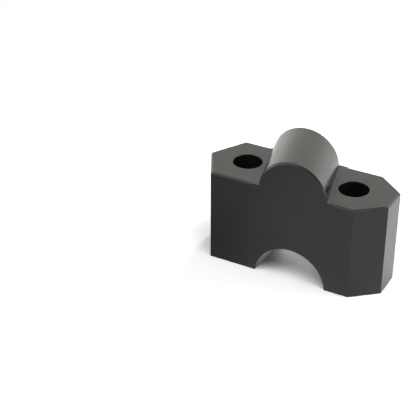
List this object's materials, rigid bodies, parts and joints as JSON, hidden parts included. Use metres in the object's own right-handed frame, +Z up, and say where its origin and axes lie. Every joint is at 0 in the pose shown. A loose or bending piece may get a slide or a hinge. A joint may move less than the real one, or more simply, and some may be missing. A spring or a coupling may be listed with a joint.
{
  "type": "motorcycle bar riser",
  "caption": "Machined aluminium handlebar riser block with a half-round clamp boss set at a slant on one side, a round bar recess on the other, and through holes for clamp bolts.",
  "frame": {"origin": "centre of the bounding box's underside, on the surface that the two feet stand on", "axes": "+X along the block towards its blunt end, +Y from the front face to the back face, +Z up from the bar recess to the half-round boss"},
  "size_m": [0.0586, 0.0222, 0.0386],
  "materials": {
    "black_anodised_aluminium": "black anodised, fine satin machined surface"
  },
  "bodies": {
    "root": {"riser_block": "black_anodised_aluminium"}
  },
  "joints": []
}
